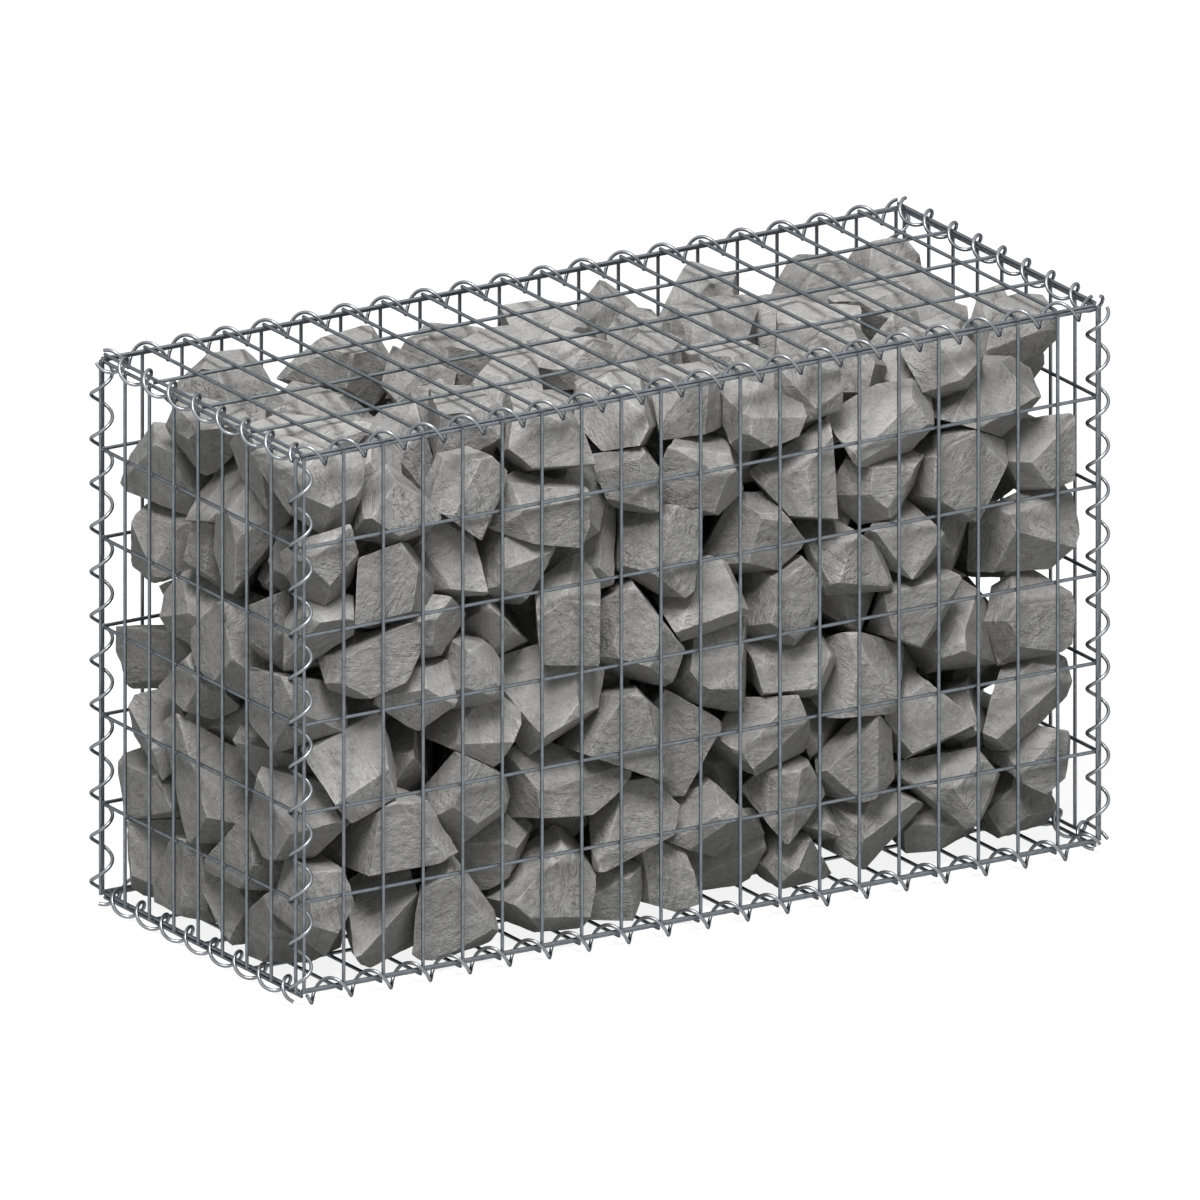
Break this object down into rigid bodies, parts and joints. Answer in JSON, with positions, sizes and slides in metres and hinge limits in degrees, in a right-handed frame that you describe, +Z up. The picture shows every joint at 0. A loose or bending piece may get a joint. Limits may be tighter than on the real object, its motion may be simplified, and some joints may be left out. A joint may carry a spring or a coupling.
{
  "type": "gabion wall basket",
  "caption": "Rectangular welded-mesh gabion basket with a lid, laced along its edges with wire spirals and filled with broken grey stone.",
  "frame": {"origin": "on the ground under the middle of the box, level with the lowest turns of the bottom spirals", "axes": "+X along the basket's length to the right, +Y from the front to the back, +Z up"},
  "size_m": [1.0359, 0.4365, 0.6333],
  "materials": {
    "mesh_wire": "dull galvanised steel wire, welded at the crossings",
    "spiral_wire": "bright galvanised steel wire",
    "stone": "broken grey quarry stone, matt and finely grained"
  },
  "bodies": {
    "root": {"front_panel": "mesh_wire", "back_panel": "mesh_wire", "left_panel": "mesh_wire", "right_panel": "mesh_wire", "base_panel": "mesh_wire", "lid_panel": "mesh_wire", "spiral_front_left": "spiral_wire", "spiral_front_right": "spiral_wire", "spiral_back_left": "spiral_wire", "spiral_back_right": "spiral_wire", "spiral_front_top": "spiral_wire", "spiral_back_top": "spiral_wire", "spiral_left_top": "spiral_wire", "spiral_right_top": "spiral_wire", "spiral_front_bottom": "spiral_wire", "spiral_back_bottom": "spiral_wire", "spiral_left_bottom": "spiral_wire", "spiral_right_bottom": "spiral_wire", "stone_course_1": "stone", "stone_course_2": "stone", "stone_course_3": "stone", "stone_course_4": "stone", "stone_course_5": "stone", "stone_course_6": "stone"}
  },
  "joints": []
}
